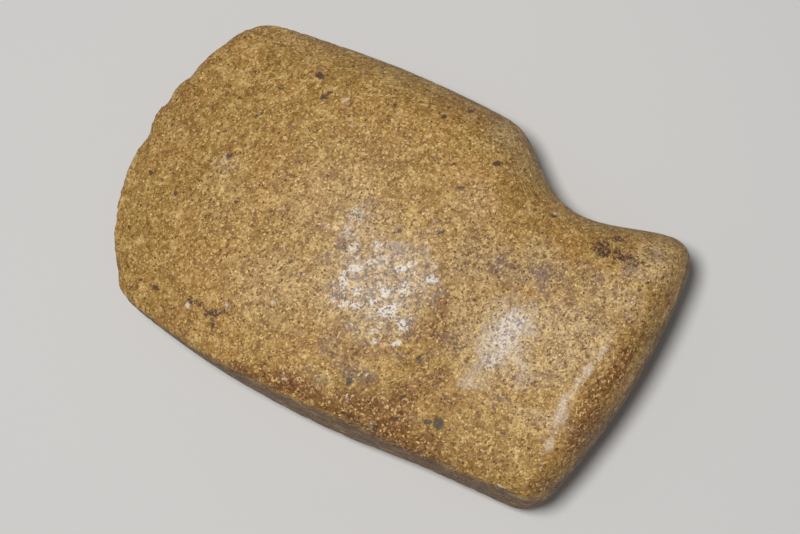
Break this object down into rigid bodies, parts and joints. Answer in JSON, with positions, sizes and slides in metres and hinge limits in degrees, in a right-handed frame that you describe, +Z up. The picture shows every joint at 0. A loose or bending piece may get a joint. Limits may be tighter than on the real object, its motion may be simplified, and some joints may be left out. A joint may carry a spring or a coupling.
{
  "type": "grooved stone axe head",
  "caption": "Grooved stone axe head, lying flat: broad blade with a nicked cutting edge, blunt butt, flat wedge side, and a haft groove over both faces and the back.",
  "frame": {"origin": "on the ground under the middle of the stone's outline", "axes": "+X from the cutting edge to the butt, +Y from the flat side to the grooved back, +Z up through the thickness"},
  "size_m": [0.152, 0.098, 0.0484],
  "materials": {
    "stone": "dull ground polish"
  },
  "bodies": {
    "root": {"axe_head": "stone"}
  },
  "joints": []
}
